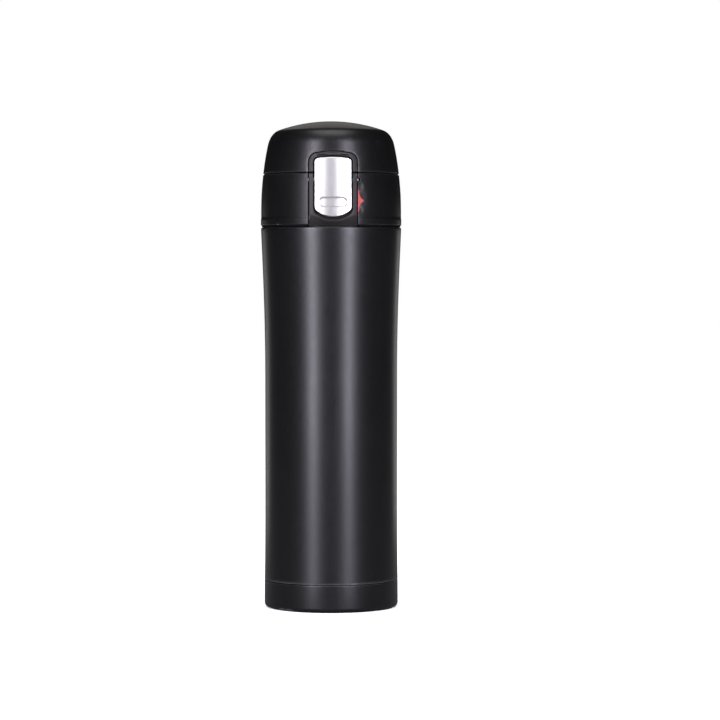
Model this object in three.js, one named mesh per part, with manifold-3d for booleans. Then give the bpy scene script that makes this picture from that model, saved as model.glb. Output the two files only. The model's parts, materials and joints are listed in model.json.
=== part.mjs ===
// A vacuum flask with a screw-on lid unit: a sprung flip lid held by a rocking push button, and a lock slide.
// Millimetres, +Z up. The origin is the centre of the base, and the push button faces -Y.
import * as THREE from "three";
import { mergeVertices } from "three/addons/utils/BufferGeometryUtils.js";
import Module from "manifold-3d";

const wasm = await Module();
wasm.setup();

// ---- driving dimensions ----
const GAP = 0.3; // between pieces that touch
const FULL_TURN = 2 * Math.PI;

const BODY_WAIST_R = 32.15; // the straight middle of the outer shell
const BODY_TOP_R = 34.1;
const BASE_R = 32.5;
const BASE_TOP_Z = 13.1; // the seam between the base cup and the outer shell
const SHELL_FOOT_Z = 13.8;
const SHOULDER_Z = 184.4; // the flat ring that the lid unit closes onto
const STEEL = 0.5; // thickness of the pressed steel

const VESSEL_R = 28.4; // inside the inner vessel
const VESSEL_BOTTOM_Z = 13;
const MOUTH_R = 21.6;
const NECK_R = 23.6;
const LIP_Z = 204.5;

const THREAD_LEAD = 8; // two starts, 4 mm apart
const NECK_BEAD = { centreR: 23.7, bead: 1.1, fromZ: 189.5, turns: 1 };
const RING_BEAD = { centreR: 25.25, bead: 1.0, fromZ: 187.5, turns: 0.85 };

const COLLAR_R = 34.2;
const COLLAR_BOTTOM_Z = 185.1;
const SEAM_LOW_Z = 210.5; // top of the collar
const SEAM_HIGH_Z = 211.0; // bottom edge of the lid
const LID_TOP_Z = 236.3;
const CROWN_R = 76.1; // radius of the lid's domed top
const PLASTIC = 1.8; // wall of the collar and of the lid

const HINGE = { y: 30.2, z: 207.0 }; // axis of the lid, along X
const PIVOT = { y: -30, z: 206.9 }; // axis of the push button, along X
const HINGE_BARREL_R = 3.4;
const PIN_R = 1.1;
const PIVOT_PIN_R = 0.8;

const FRAME_HALF = 11.6; // half the width of the frame round the button
const WINDOW_HALF = 9.5; // half the width of the window in that frame
const BUTTON_HALF = 8.95;
const BUTTON_LOW_Z = 189.75;
const BUTTON_HIGH_Z = 218.0;

// Sides of a turned surface: the outside, the smaller pieces, and the surfaces inside a closed wall.
const FINE = 48;
const PLAIN = 32;
const HIDDEN = 24;

// ---- making solids ----

/** A closed mesh as a manifold-3d solid, without the collapsed faces that a turned outline has on its axis. */
function solid(geometry) {
  const bare = new THREE.BufferGeometry().setAttribute("position", geometry.getAttribute("position"));
  if (geometry.index) bare.setIndex(geometry.index);
  const merged = mergeVertices(bare, 1e-4);
  const kept = [];
  const index = merged.index.array;
  for (let i = 0; i < index.length; i += 3) {
    const [a, b, c] = [index[i], index[i + 1], index[i + 2]];
    if (a !== b && b !== c && a !== c) kept.push(a, b, c);
  }
  const vertProperties = new Float32Array(merged.attributes.position.array);
  return new wasm.Manifold(new wasm.Mesh({ numProp: 3, vertProperties, triVerts: new Uint32Array(kept) }));
}

function geometryOf(body) {
  const { vertProperties, triVerts } = body.getMesh();
  const geometry = new THREE.BufferGeometry();
  geometry.setAttribute("position", new THREE.BufferAttribute(vertProperties, 3));
  geometry.setIndex(new THREE.BufferAttribute(triVerts, 1));
  return geometry;
}

/** Turns a closed outline of [radius, height] points about +Z. */
function turned(outline, segments = PLAIN) {
  const loop = outline.map(([r, z]) => new THREE.Vector2(Math.max(r, 0), z));
  if (THREE.ShapeUtils.area(loop) < 0) loop.reverse();
  loop.push(loop[0].clone());
  return solid(new THREE.LatheGeometry(loop, segments).rotateX(Math.PI / 2));
}

const rod = (radius, lowZ, highZ, segments) =>
  turned([[0, lowZ], [radius, lowZ], [radius, highZ], [0, highZ]], segments);

function box(x, y, z) {
  const size = [x, y, z].map(([low, high]) => high - low);
  const middle = [x, y, z].map(([low, high]) => (low + high) / 2);
  return solid(new THREE.BoxGeometry(...size).translate(...middle));
}

/** A cylinder along X, centred on the plane x = 0. */
const axle = (radius, length, { y, z }, sides = 20) =>
  solid(new THREE.CylinderGeometry(radius, radius, length, sides).rotateZ(Math.PI / 2).translate(0, y, z));

/** An outline in x and z, extruded from y = back to y = front. */
function prism(shape, back = -20, front = -40, curveSegments = 5) {
  const depth = back - front;
  const geometry = new THREE.ExtrudeGeometry(shape, { depth, bevelEnabled: false, curveSegments });
  return solid(geometry.rotateX(Math.PI / 2).translate(0, back, 0));
}

/** Points of an arc as [radius, height], angles in degrees. */
function arc(r, z, radius, from, to, steps) {
  return Array.from({ length: steps + 1 }, (_, i) => {
    const angle = THREE.MathUtils.degToRad(from + ((to - from) * i) / steps);
    return [r + radius * Math.cos(angle), z + radius * Math.sin(angle)];
  });
}

function bezier(points, steps) {
  const ends = points.map(([r, z]) => new THREE.Vector2(r, z));
  return new THREE.CubicBezierCurve(...ends).getPoints(steps).map((p) => [p.x, p.y]);
}

// ---- the cap's outer surface, which the collar, the frame, the button and the lid share ----
const CAP_SIDE = new THREE.CubicBezierCurve(
  new THREE.Vector2(COLLAR_R, 190),
  new THREE.Vector2(COLLAR_R, 199),
  new THREE.Vector2(33.36, 213.4),
  new THREE.Vector2(30.6, 225.4),
);
const SHOULDER_LOW = [30.6, 225.4];
const CROWN_EDGE = [25.5, 231.9];

function capRadius(z) {
  if (z <= CAP_SIDE.v0.y) return COLLAR_R;
  let [low, high] = [0, 1];
  for (let i = 0; i < 30; i++) {
    const middle = (low + high) / 2;
    if (CAP_SIDE.getPoint(middle).y < z) low = middle;
    else high = middle;
  }
  return CAP_SIDE.getPoint(low).x;
}

const capLine = (lowZ, highZ, steps) =>
  Array.from({ length: steps + 1 }, (_, i) => {
    const z = lowZ + ((highZ - lowZ) * i) / steps;
    return [capRadius(z), z];
  });

/** A ring that follows the cap, from depth outer to depth inner below its surface. */
function capBand(outer, inner, lowZ, highZ, steps = 8) {
  const line = capLine(lowZ, highZ, steps);
  const shifted = (depth) => line.map(([r, z]) => [r - depth, z]);
  return turned([...shifted(outer), ...shifted(inner).reverse()], FINE);
}

// ---- outlines in the front view ----

/** The arch of the frame above the seam, or of the cut that holds it: a flat-topped arch on straight legs. */
function archShape(half, topZ, cornerR, bottomZ) {
  const crownZ = topZ - 0.6; // the arch's top bows up by this much
  return new THREE.Shape()
    .moveTo(-half, bottomZ)
    .lineTo(half, bottomZ)
    .lineTo(half, crownZ - cornerR)
    .quadraticCurveTo(half, crownZ, half - cornerR, crownZ)
    .quadraticCurveTo(0, topZ + 0.6, cornerR - half, crownZ)
    .quadraticCurveTo(-half, crownZ, -half, crownZ - cornerR)
    .closePath();
}

/** The button's plate: square shoulders, and a bottom edge that is one shallow arc. */
function plateShape(half, lowZ, highZ, cornerR) {
  const cornerZ = lowZ + 3.1;
  return new THREE.Shape()
    .moveTo(-half, cornerZ)
    .quadraticCurveTo(0, 2 * lowZ - cornerZ, half, cornerZ)
    .lineTo(half, highZ - cornerR)
    .quadraticCurveTo(half, highZ - 0.4, half - cornerR, highZ - 0.3)
    .quadraticCurveTo(0, highZ + 0.3, cornerR - half, highZ - 0.3)
    .quadraticCurveTo(-half, highZ - 0.4, -half, highZ - cornerR)
    .closePath();
}

const stadium = (half, middleZ, radius) =>
  new THREE.Shape()
    .absarc(half - radius, middleZ, radius, -Math.PI / 2, Math.PI / 2)
    .absarc(radius - half, middleZ, radius, Math.PI / 2, (3 * Math.PI) / 2)
    .closePath();

// ---- helices: the screw thread and the springs ----
class Helix extends THREE.Curve {
  constructor({ radius, rise, turns, start = 0, runOut = 0 }) {
    super();
    Object.assign(this, { radius, rise, turns, start, runOut });
  }

  getPoint(t, target = new THREE.Vector3()) {
    const angle = this.start + FULL_TURN * this.turns * t;
    const ends = Math.max(0, 1 - Math.min(t, 1 - t) * 12); // 1 at either end, 0 a twelfth of the way in
    const radius = this.radius + this.runOut * ends;
    return target.set(radius * Math.cos(angle), radius * Math.sin(angle), this.rise * t);
  }
}

function tube(path, radius, steps, halfSides = 3) {
  const section = new THREE.Shape().absarc(0, 0, radius, 0, FULL_TURN);
  return new THREE.ExtrudeGeometry(section, { steps, extrudePath: path, curveSegments: halfSides });
}

/** Both starts of a thread's rounded bead. Its ends run out of the groove by runOut. */
function threadBeads({ centreR, bead, fromZ, turns }, runOut) {
  const starts = [0, Math.PI].map((start) => {
    const path = new Helix({ radius: centreR, rise: THREAD_LEAD * turns, turns, start, runOut });
    return solid(tube(path, bead, Math.round(24 * turns)).translate(0, 0, fromZ));
  });
  return starts[0].add(starts[1]);
}

// ---- the flask ----

function outerShell() {
  const cornerR = 1.2;
  const neckTopZ = LIP_Z - 0.9;
  const outside = turned([
    [0, 3],
    [31.5, 3],
    [31.5, SHELL_FOOT_Z - 0.3],
    ...bezier([[BASE_R, SHELL_FOOT_Z], [32.25, 26], [BODY_WAIST_R, 42], [BODY_WAIST_R, 60]], 3),
    ...bezier([[BODY_WAIST_R, 112], [BODY_WAIST_R, 145], [33.6, 170], [BODY_TOP_R, 183.2]], 5),
    ...arc(BODY_TOP_R - cornerR, SHOULDER_Z - cornerR, cornerR, 30, 90, 2),
    [NECK_R + cornerR, SHOULDER_Z],
    [NECK_R, SHOULDER_Z + cornerR],
    [NECK_R, neckTopZ],
    [0, neckTopZ],
  ], FINE);
  const inside = turned([
    [0, 2],
    [31, 2],
    [31, 15],
    [BODY_WAIST_R - STEEL, 22],
    [BODY_WAIST_R - STEEL, 130],
    [32.4, 155],
    [BODY_TOP_R - STEEL, 182.4],
    [32.5, SHOULDER_Z - STEEL],
    [NECK_R - STEEL, SHOULDER_Z - STEEL],
    [NECK_R - STEEL, 210],
    [0, 210],
  ], HIDDEN);
  return outside.add(threadBeads(NECK_BEAD, -1.2)).subtract(inside);
}

function innerVessel() {
  const cornerR = 7;
  const bottomZ = VESSEL_BOTTOM_Z;
  const outside = turned([
    [0, bottomZ - STEEL],
    [VESSEL_R + STEEL - cornerR, bottomZ - STEEL],
    ...arc(VESSEL_R + STEEL - cornerR, bottomZ - STEEL + cornerR, cornerR, -60, 0, 2),
    [VESSEL_R + STEEL, 169],
    [VESSEL_R, 172.5],
    [MOUTH_R + 1.6, 177.3],
    [MOUTH_R + STEEL, 183],
    [MOUTH_R + STEEL, LIP_Z - 0.6],
    [NECK_R, LIP_Z - 0.6],
    [NECK_R, LIP_Z],
    [0, LIP_Z],
  ], HIDDEN);
  const inside = turned([
    [0, bottomZ + 1],
    [VESSEL_R - cornerR - 3, bottomZ + 0.2],
    ...arc(VESSEL_R - cornerR, bottomZ + cornerR, cornerR, -80, 0, 4),
    ...bezier([[VESSEL_R, 164], [VESSEL_R, 175.5], [MOUTH_R, 171], [MOUTH_R, 183]], 5),
    [MOUTH_R, 210],
    [0, 210],
  ]);
  return outside.subtract(inside);
}

/** The disc that closes the outer shell below, with the small hole that the air is drawn out through. */
function outerBottom() {
  const [holeR, rimR] = [1.3, 30.6];
  return turned([
    [holeR, 5.4],
    [24, 5.4],
    [26, 4.2],
    [rimR, 4.2],
    [rimR, 8.5],
    [rimR - STEEL, 8.5],
    [rimR - STEEL, 4.2 + STEEL],
    [26.2, 4.2 + STEEL],
    [24.2, 5.4 + STEEL],
    [holeR, 5.4 + STEEL],
  ], HIDDEN);
}

const evacuationSeal = () => turned([[0, 4.1], [2, 4.1], [2.9, 4.7], [2.9, 5.1], [0, 5.1]], 16);

const getter = () => turned([[0, 6.3], [5, 6.3], [5.5, 6.8], [5.5, 8.4], [3.6, 8.8], [0, 8.8]], 16);

const heatFoil = () => turned([[29.4, 24], [29.55, 24], [29.55, 160], [29.4, 160]], HIDDEN);

function baseCup() {
  const cornerR = 2.2;
  const outline = [
    [0, 1.5],
    [25.6, 1.5],
    [27.2, 0],
    ...arc(BASE_R - cornerR, cornerR, cornerR, -90, 0, 4),
    [BASE_R, BASE_TOP_Z - 0.3],
    [BASE_R - 0.3, BASE_TOP_Z],
    [31.85, BASE_TOP_Z],
    [31.85, 2.4],
    [30.4, 0.8],
    [27.5, 0.8],
    [25.9, 2.3],
    [0, 2.3],
  ];
  return turned(outline, FINE);
}

// ---- the lid unit: what screws onto the neck ----

const DECK = { low: 205.6, high: 207.6, radius: 31 };
const SKIRT = { inner: 25.1, outer: 26.6, low: 186 };
const PLUG = { inner: 17.9, outer: 20.6, low: 193, grooveR: 19.5, grooveLow: 194.4, grooveHigh: 198.6 };
const SPOUT = { footR: 21.2, lipR: 19.4, lipInnerR: 17.8, top: 217 };

/** Clears a piece of the deck or the collar away from the hinge's knuckles. */
const hingeRoom = (half, fromZ) => box([-half, half], [26.2, 40], [fromZ, 220]);

function mouthpiece() {
  const outline = [
    [PLUG.inner, PLUG.low],
    [PLUG.outer, PLUG.low],
    [PLUG.outer, PLUG.grooveLow],
    [PLUG.grooveR, PLUG.grooveLow],
    [PLUG.grooveR, PLUG.grooveHigh],
    [PLUG.outer, PLUG.grooveHigh],
    [PLUG.outer, DECK.low],
    [SKIRT.inner, DECK.low],
    [SKIRT.inner, SKIRT.low],
    [SKIRT.outer, SKIRT.low],
    [SKIRT.outer, DECK.low],
    [DECK.radius, DECK.low],
    [DECK.radius, DECK.high],
    [SPOUT.footR, DECK.high],
    [SPOUT.lipR + 0.3, SPOUT.top - 1.2],
    ...arc((SPOUT.lipR + SPOUT.lipInnerR) / 2, SPOUT.top - 0.8, 0.8, 0, 180, 4),
    [SPOUT.lipInnerR + 0.5, DECK.high],
    [0, DECK.high],
    [0, DECK.low],
    [PLUG.inner, DECK.low],
  ];
  const thread = threadBeads(RING_BEAD, 1.2).intersect(rod(SKIRT.outer - 0.3, 180, 205, PLAIN));
  const drinkHole = solid(
    new THREE.ExtrudeGeometry(stadium(6.5, -11, 4), { depth: 6, bevelEnabled: false, curveSegments: 5 })
      .translate(0, 0, 203.5),
  );
  const ventHole = rod(1.5, 200, 210, 12).translate(0, 12.5, 0);
  const latchRoom = box([-12, 12], [-40, -26.95], [204, 212]);
  return turned(outline)
    .add(thread)
    .subtract(drinkHole)
    .subtract(ventHole)
    .subtract(latchRoom)
    .subtract(hingeRoom(13.4, 205));
}

function neckGasket() {
  const inner = PLUG.grooveR + GAP;
  const outline = [
    [inner, PLUG.grooveLow + GAP],
    [PLUG.outer, PLUG.grooveLow + GAP],
    [MOUTH_R - GAP, 195.4],
    [20.6, 196.2],
    [MOUTH_R - GAP, 197.0],
    [20.6, PLUG.grooveHigh - GAP],
    [inner, PLUG.grooveHigh - GAP],
  ];
  return turned(outline);
}

const SLOT = { outerX: 13.0, low: 191.3, high: 206.1 }; // the lock slide's slot, beside the frame
const SCOOP = { x: 11.9, z: 198.2, halfWidth: 6, halfHeight: 7.6, depth: 0.7 };
const LUG_OUTER_X = 12.9;
const LUG_INNER_X = 10.1;

function collar() {
  const frontEdge = FRAME_HALF + 0.4;
  const chamfer = 0.3;
  const line = [
    [COLLAR_R - chamfer, COLLAR_BOTTOM_Z],
    ...capLine(COLLAR_BOTTOM_Z + chamfer, SEAM_LOW_Z - chamfer, 5),
    [capRadius(SEAM_LOW_Z) - chamfer, SEAM_LOW_Z],
  ];
  const outside = turned([[0, COLLAR_BOTTOM_Z], ...line, [0, SEAM_LOW_Z]], FINE);
  const inner = capLine(COLLAR_BOTTOM_Z - 1, SEAM_LOW_Z + 1, 2).map(([r, z]) => [r - PLASTIC, z]);
  const inside = turned([[0, COLLAR_BOTTOM_Z - 1], ...inner, [0, SEAM_LOW_Z + 1]], FINE);
  const thumbRoom = new THREE.Shape().absellipse(
    SCOOP.x, SCOOP.z, SCOOP.halfWidth, SCOOP.halfHeight, 0, FULL_TURN,
  );
  const scoop = prism(thumbRoom).intersect(capBand(-1, SCOOP.depth, 186, 209, 6));
  const lugs = [-1, 1].map((side) => {
    const x = [side * LUG_INNER_X, side * LUG_OUTER_X].sort((a, b) => a - b);
    const foot = box(x, [27.8, 31.5], [199, HINGE.z]).intersect(rod(32.4, 190, 215, FINE));
    return foot.add(axle(3.2, 40, HINGE).intersect(box(x, [20, 40], [200, 215])));
  });
  return outside
    .subtract(inside)
    .subtract(box([-frontEdge, frontEdge], [-40, -20], [180, 215]))
    .subtract(box([frontEdge - 0.5, SLOT.outerX], [-40, -20], [SLOT.low, SLOT.high]))
    .subtract(scoop)
    .subtract(hingeRoom(LUG_INNER_X, 202.2))
    .add(lugs[0])
    .add(lugs[1])
    .subtract(axle(PIN_R + GAP, 40, HINGE));
}

const windowCut = () => plateShape(WINDOW_HALF, BUTTON_LOW_Z - 0.55, 225, 2);

function latchHousing() {
  const low = SHOULDER_Z + GAP;
  const frame = new THREE.Shape()
    .moveTo(-FRAME_HALF, low)
    .lineTo(FRAME_HALF, low)
    .lineTo(FRAME_HALF, SEAM_LOW_Z)
    .lineTo(-FRAME_HALF, SEAM_LOW_Z)
    .closePath();
  const inside = rod(33.0, 180, SEAM_LOW_Z, FINE);
  const cheek = (x) => box(x, [-36, -27.4], [187, 209.8]).intersect(inside);
  const lockSlot = box([8, 12], [-29.75, -28.55], [192.9, 201.6]);
  return prism(frame)
    .intersect(capBand(0, 2.2, 184, 211))
    .subtract(prism(windowCut()))
    .add(cheek([-FRAME_HALF + GAP, -WINDOW_HALF]))
    .add(cheek([WINDOW_HALF, FRAME_HALF - GAP]))
    .add(box([-FRAME_HALF + GAP, FRAME_HALF - GAP], [-28.4, -27.4], [187, 202]))
    .subtract(lockSlot)
    .subtract(axle(PIVOT_PIN_R + GAP, 40, PIVOT, 12));
}

const leverPin = () => axle(PIVOT_PIN_R, 2 * 11.75, PIVOT, 12);
const hingePin = () => axle(PIN_R, 2 * LUG_OUTER_X, HINGE, 16);

/** A torsion spring round the hinge pin: one leg bears on the inside of the collar, the other lifts the lid. */
function hingeSpring() {
  const [wire, coilR, half] = [0.35, 2.0, 4.2];
  const points = [new THREE.Vector3(-half, HINGE.y, 199), new THREE.Vector3(-half, HINGE.y + 1, 203.5)];
  const turns = 5;
  const steps = 12 * turns + 3; // from the back of the coil to its top
  for (let i = 0; i <= steps; i++) {
    const angle = (FULL_TURN * i) / 12;
    const x = -half + (2 * half * i) / steps;
    points.push(new THREE.Vector3(x, HINGE.y + coilR * Math.cos(angle), HINGE.z + coilR * Math.sin(angle)));
  }
  points.push(new THREE.Vector3(half, HINGE.y - 5.4, HINGE.z + 3.4));
  return solid(tube(new THREE.CatmullRomCurve3(points, false, "centripetal"), wire, 60));
}

const SPRING_Z = 196; // height of the button's return spring

function buttonSpring() {
  const path = new Helix({ radius: 1.8, rise: 3.4, turns: 4 });
  return solid(tube(path, 0.25, 40).rotateX(Math.PI / 2).translate(0, -28.98, SPRING_Z));
}

// ---- the push button: a bright plate on a rocking lever ----

function buttonCover() {
  const plate = prism(plateShape(BUTTON_HALF, BUTTON_LOW_Z, BUTTON_HIGH_Z, 1.9));
  const pad = prism(stadium(6.8, 196.3, 2.2)).intersect(capBand(-1, 0.25, 190, 202, 4));
  return plate.intersect(capBand(-0.2, 1.0, 188, 220, 10)).subtract(pad);
}

function latchLever() {
  const blade = prism(plateShape(8.2, 191.4, 216.8, 1.5)).intersect(capBand(1.35, 2.9, 189, 218, 8));
  const boss = axle(2.0, 2 * 8.9, PIVOT).intersect(capBand(1.35, 8, 200, 212, 4));
  const bridge = box([-8.2, 8.2], [-32.0, PIVOT.y], [205.6, 208.2]).intersect(capBand(1.35, 5, 200, 212, 4));
  const hook = box([-3.5, 3.5], [-30, -27.0], [213.9, 215.6]);
  return blade
    .add(boss)
    .add(bridge)
    .add(hook)
    .subtract(axle(PIVOT_PIN_R + GAP, 40, PIVOT, 12))
    .subtract(rod(2.5, -10, 10, 16).rotate([90, 0, 0]).translate(0, -32, SPRING_Z));
}

// ---- the lock slide ----

function lockSlider() {
  const [low, high] = [191.7, 202.2];
  const inner = FRAME_HALF + GAP;
  const strip = box([inner, 12.7], [-40, -20], [low, high]).intersect(capBand(-0.25, 3.4, 190, 204, 4));
  const thumb = new THREE.Shape()
    .moveTo(12.5, 193.9)
    .quadraticCurveTo(13.2, 195.6, 14.6, 196.6)
    .quadraticCurveTo(15.1, 197, 14.6, 197.4)
    .quadraticCurveTo(13.2, 198.4, 12.5, 200.1)
    .closePath();
  const tab = prism(thumb).intersect(capBand(-0.6, 0.3, 192, 202, 4));
  const foot = box([12.2, 14.6], [-40, -20], [193, 201]).intersect(capBand(2.3, 3.4, 190, 204, 4));
  const arm = box([8.4, 12.5], [-29.45, -28.85], [193.3, 197.3]);
  return strip.add(tab).add(foot).add(arm);
}

// ---- the flip lid ----

function lidShell() {
  const chamfer = 0.3;
  const crownCentre = LID_TOP_Z - CROWN_R;
  const crownAngle = THREE.MathUtils.radToDeg(Math.acos(CROWN_EDGE[0] / CROWN_R));
  const outer = [
    ...capLine(SEAM_HIGH_Z + chamfer, SHOULDER_LOW[1], 3),
    ...bezier([SHOULDER_LOW, [29.95, 227.9], [28.3, 230.9], CROWN_EDGE], 5).slice(1),
    ...arc(0, crownCentre, CROWN_R, crownAngle, 90, 3).slice(1),
  ];
  const outside = turned([
    [0, SEAM_HIGH_Z],
    [capRadius(SEAM_HIGH_Z) - chamfer, SEAM_HIGH_Z],
    ...outer,
  ], FINE);
  const inside = turned([
    [0, 205],
    [capRadius(SEAM_HIGH_Z) - PLASTIC, 205],
    [capRadius(SEAM_HIGH_Z) - PLASTIC, SEAM_HIGH_Z + 1],
    [SHOULDER_LOW[0] - PLASTIC, SHOULDER_LOW[1]],
    [CROWN_EDGE[0] + 1, CROWN_EDGE[1] - 2.6],
    [CROWN_EDGE[0] - 1.6, CROWN_EDGE[1] - 1.6],
    [0, LID_TOP_Z - PLASTIC],
  ]);
  const arch = archShape(FRAME_HALF + GAP, 220.9, 5, 205);
  const half = LUG_INNER_X - GAP;
  const knuckle = axle(HINGE_BARREL_R, 2 * half, HINGE, 24).add(
    box([-half, half], [29.5, HINGE.y + 3], [HINGE.z, 214.5]),
  );
  const springRoom = box([-4.9, 4.9], [25, 34], [203, SEAM_HIGH_Z]);
  return outside
    .subtract(inside)
    .subtract(prism(arch))
    .add(knuckle)
    .subtract(springRoom)
    .subtract(axle(PIN_R + GAP, 40, HINGE));
}

function lidLiner() {
  const outline = [
    [22.9, 211.4],
    [30.6, 211.4],
    [30.6, 213.0],
    [24.3, 213.0],
    [24.3, 219.8],
    [23.1, 221.0],
    [5.3, 221.0],
    [5.3, 219.6],
    [22.9, 219.6],
  ];
  const latchRoom = box([-12.2, 12.2], [-40, -24.35], [205, 230]);
  const hingeKnuckleRoom = box([-10.2, 10.2], [29.1, 40], [205, 230]);
  const strike = box([-3.6, 3.6], [-26.7, -23.6], [212.2, 213.6]);
  return turned(outline).subtract(latchRoom).subtract(hingeKnuckleRoom).add(strike);
}

function lidBezel() {
  const frame = prism(archShape(FRAME_HALF, 220.6, 4.8, SEAM_HIGH_Z + 0.1));
  const window = prism(archShape(WINDOW_HALF, 218.6, 2.6, 200));
  return frame.intersect(capBand(0, 2.2, 210, 222)).subtract(window);
}

const sealHolder = () =>
  turned([
    [0, 216.6], [14.5, 216.6], [14.5, 218.6], [5.0, 218.6], [5.0, 221.3], [6.4, 221.3], [6.0, 222.4], [0, 222.4],
  ]);

const spoutSeal = () =>
  turned([
    [0, 214.3], [15.2, 214.3], [16.4, 217.3], [20.3, 217.3], [20.3, 218.6], [17.0, 219.3],
    [8.0, 219.3], [8.0, 218.9], [14.8, 218.9], [14.8, 216.3], [0, 216.3],
  ]);

// ---- materials ----
const finish = (color, roughness, metalness) => new THREE.MeshStandardMaterial({ color, roughness, metalness });
const blackPaint = finish(0x17161a, 0.38, 0.1);
const brightSteel = finish(0xb9bbbe, 0.3, 1);
const blackPlastic = finish(0x1b1b1d, 0.5, 0);
const framePlastic = finish(0x2c292a, 0.45, 0);
const innerPlastic = finish(0x26262a, 0.45, 0);
const chromedPlate = finish(0xe4e4e8, 0.25, 1);
const springSteel = finish(0x8f9296, 0.35, 1);
const redPlastic = finish(0xd8393b, 0.45, 0);
const silicone = finish(0xc9ccd0, 0.6, 0);
const copperFoil = finish(0xb87348, 0.35, 1);
const getterMetal = finish(0x77716b, 0.6, 1);

// ---- the assembly: each moving group turns about its own origin ----

/** A group whose origin is a joint's axis. Its pieces are modelled in the flask's frame and moved into the group's. */
function movingGroup(parent, { y = 0, z = 0 } = {}) {
  const group = new THREE.Group();
  group.position.set(0, y, z);
  parent.add(group);
  group.userData.piece = (name, body, material) => {
    const mesh = new THREE.Mesh(geometryOf(body).translate(0, -y, -z), material);
    mesh.name = name;
    group.add(mesh);
  };
  return group;
}

const flask = movingGroup(new THREE.Group());
const lidUnit = movingGroup(flask);
const button = movingGroup(lidUnit, PIVOT);
const lock = movingGroup(lidUnit);
const lid = movingGroup(lidUnit, HINGE);

flask.userData.piece("outer_shell", outerShell(), blackPaint);
flask.userData.piece("inner_vessel", innerVessel(), brightSteel);
flask.userData.piece("outer_bottom", outerBottom(), brightSteel);
flask.userData.piece("evacuation_seal", evacuationSeal(), getterMetal);
flask.userData.piece("getter", getter(), getterMetal);
flask.userData.piece("heat_foil", heatFoil(), copperFoil);
flask.userData.piece("base_cup", baseCup(), blackPaint);

lidUnit.userData.piece("neck_gasket", neckGasket(), silicone);
lidUnit.userData.piece("mouthpiece", mouthpiece(), innerPlastic);
lidUnit.userData.piece("collar", collar(), blackPlastic);
lidUnit.userData.piece("latch_housing", latchHousing(), framePlastic);
lidUnit.userData.piece("lever_pin", leverPin(), springSteel);
lidUnit.userData.piece("button_spring", buttonSpring(), springSteel);
lidUnit.userData.piece("hinge_pin", hingePin(), springSteel);
lidUnit.userData.piece("hinge_spring", hingeSpring(), springSteel);

button.userData.piece("button_cover", buttonCover(), chromedPlate);
button.userData.piece("latch_lever", latchLever(), innerPlastic);

lock.userData.piece("lock_slider", lockSlider(), redPlastic);

lid.userData.piece("lid_shell", lidShell(), blackPlastic);
lid.userData.piece("lid_liner", lidLiner(), innerPlastic);
lid.userData.piece("lid_bezel", lidBezel(), framePlastic);
lid.userData.piece("seal_holder", sealHolder(), innerPlastic);
lid.userData.piece("spout_seal", spoutSeal(), silicone);

export default flask;
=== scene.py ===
"""A vacuum flask with a flip lid: fine surfaces, materials, light and camera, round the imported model."""
import json
import math

import bmesh
import bpy
import numpy as np
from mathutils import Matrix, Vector
from mathutils.geometry import delaunay_2d_cdt


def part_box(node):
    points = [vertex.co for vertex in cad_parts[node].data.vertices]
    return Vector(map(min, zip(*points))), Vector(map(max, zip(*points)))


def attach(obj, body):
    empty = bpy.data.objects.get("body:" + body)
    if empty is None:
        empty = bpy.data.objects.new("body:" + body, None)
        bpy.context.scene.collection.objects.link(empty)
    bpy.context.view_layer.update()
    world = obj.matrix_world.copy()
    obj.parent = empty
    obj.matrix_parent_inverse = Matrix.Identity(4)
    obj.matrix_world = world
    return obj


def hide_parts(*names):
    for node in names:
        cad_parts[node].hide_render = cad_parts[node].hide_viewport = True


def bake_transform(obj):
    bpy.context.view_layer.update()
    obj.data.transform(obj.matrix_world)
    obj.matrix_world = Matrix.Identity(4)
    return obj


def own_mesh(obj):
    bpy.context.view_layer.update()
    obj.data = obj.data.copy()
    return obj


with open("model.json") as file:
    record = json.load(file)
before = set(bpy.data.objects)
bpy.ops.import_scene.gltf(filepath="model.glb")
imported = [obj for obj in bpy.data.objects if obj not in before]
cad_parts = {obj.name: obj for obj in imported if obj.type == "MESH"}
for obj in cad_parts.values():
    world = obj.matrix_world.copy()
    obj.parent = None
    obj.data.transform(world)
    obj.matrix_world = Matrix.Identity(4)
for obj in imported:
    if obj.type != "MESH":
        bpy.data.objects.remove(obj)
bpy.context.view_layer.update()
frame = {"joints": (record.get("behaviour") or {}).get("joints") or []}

MM = 0.001  # shapes are worked out in millimetres, and written in metres
TURN = 2 * math.pi


def low(node):
    """A CAD node's lowest corner, in millimetres."""
    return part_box(node)[0] / MM


def high(node):
    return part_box(node)[1] / MM


def hinge_axis(joint):
    """(y, z) of a joint whose axis lies along X, in millimetres."""
    found = next(j for j in frame["joints"] if j["name"] == joint)
    return found["pos_m"][1] / MM, found["pos_m"][2] / MM


# ---- sizes, from the frame ----
BASE_R = high("base_cup").x
BASE_TOP = high("base_cup").z
BODY_R = high("outer_shell").x  # at the shoulder, its widest
WAIST_R = BASE_R - 0.35
NECK_TOP = high("outer_shell").z
LIP_TOP = high("inner_vessel").z
VESSEL_LOW = low("inner_vessel").z
VESSEL_R = high("inner_vessel").x
COLLAR_R = high("collar").x
COLLAR_LOW = low("collar").z
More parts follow.
